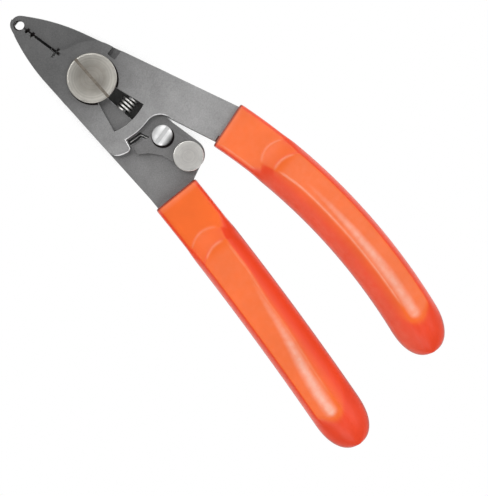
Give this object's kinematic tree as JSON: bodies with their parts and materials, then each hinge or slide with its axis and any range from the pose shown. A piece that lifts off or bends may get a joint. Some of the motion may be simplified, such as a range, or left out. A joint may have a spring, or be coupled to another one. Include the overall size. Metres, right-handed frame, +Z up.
{
  "type": "fibre stripper",
  "caption": "Hand tool with two crossed flat steel levers on a large pivot screw, notched stripping jaws, moulded grips, a return spring and a swinging lock latch.",
  "frame": {"origin": "pivot axis at the plane that the closed tool lies on, which is the flush end of the pivot screw", "axes": "+Y from the pivot towards the jaw tips, +Z up out of the face with the pivot screw's head, +X to the right of the jaws seen from that face"},
  "size_m": [0.0555, 0.1373, 0.011],
  "materials": {
    "lever_steel": "bead-blasted hardened steel, grey, with ground edges",
    "latch_steel": "darker blasted steel",
    "plated_steel": "turned and nickel plated, satin",
    "bright_steel": "bright plated",
    "spring_wire": "drawn wire, plated",
    "grip_vinyl": "moulded soft vinyl, semi-gloss orange"
  },
  "bodies": {
    "rear_handle": {"rear_lever": "lever_steel", "rear_grip": "grip_vinyl", "pivot_screw": "plated_steel", "pivot_washer": "plated_steel", "pivot_nut": "plated_steel", "latch_screw": "bright_steel", "latch_nut": "plated_steel", "return_spring": "spring_wire", "latch_spring": "spring_wire"},
    "front_handle": {"front_lever": "lever_steel", "front_grip": "grip_vinyl"},
    "latch": {"latch_lever": "latch_steel", "latch_button": "plated_steel"}
  },
  "joints": [
    {"name": "lever_pivot", "type": "hinge", "parent": "rear_handle", "child": "front_handle", "pos_m": [0, 0, 0.00675], "axis": [0, 0, 1], "range_deg": [0, 15], "deforming": ["return_spring"]},
    {"name": "latch_swing", "type": "hinge", "parent": "rear_handle", "child": "latch", "pos_m": [-0.00105, -0.02297, 0.00645], "axis": [0, 0, 1], "range_deg": [0, 27], "stiffness_Nm_per_rad": 0.003, "springref_deg": -17.19, "deforming": ["latch_spring"]}
  ],
  "couplings": [
    {"joint": "latch_swing", "follows": "lever_pivot", "ratio": 1.8}
  ]
}
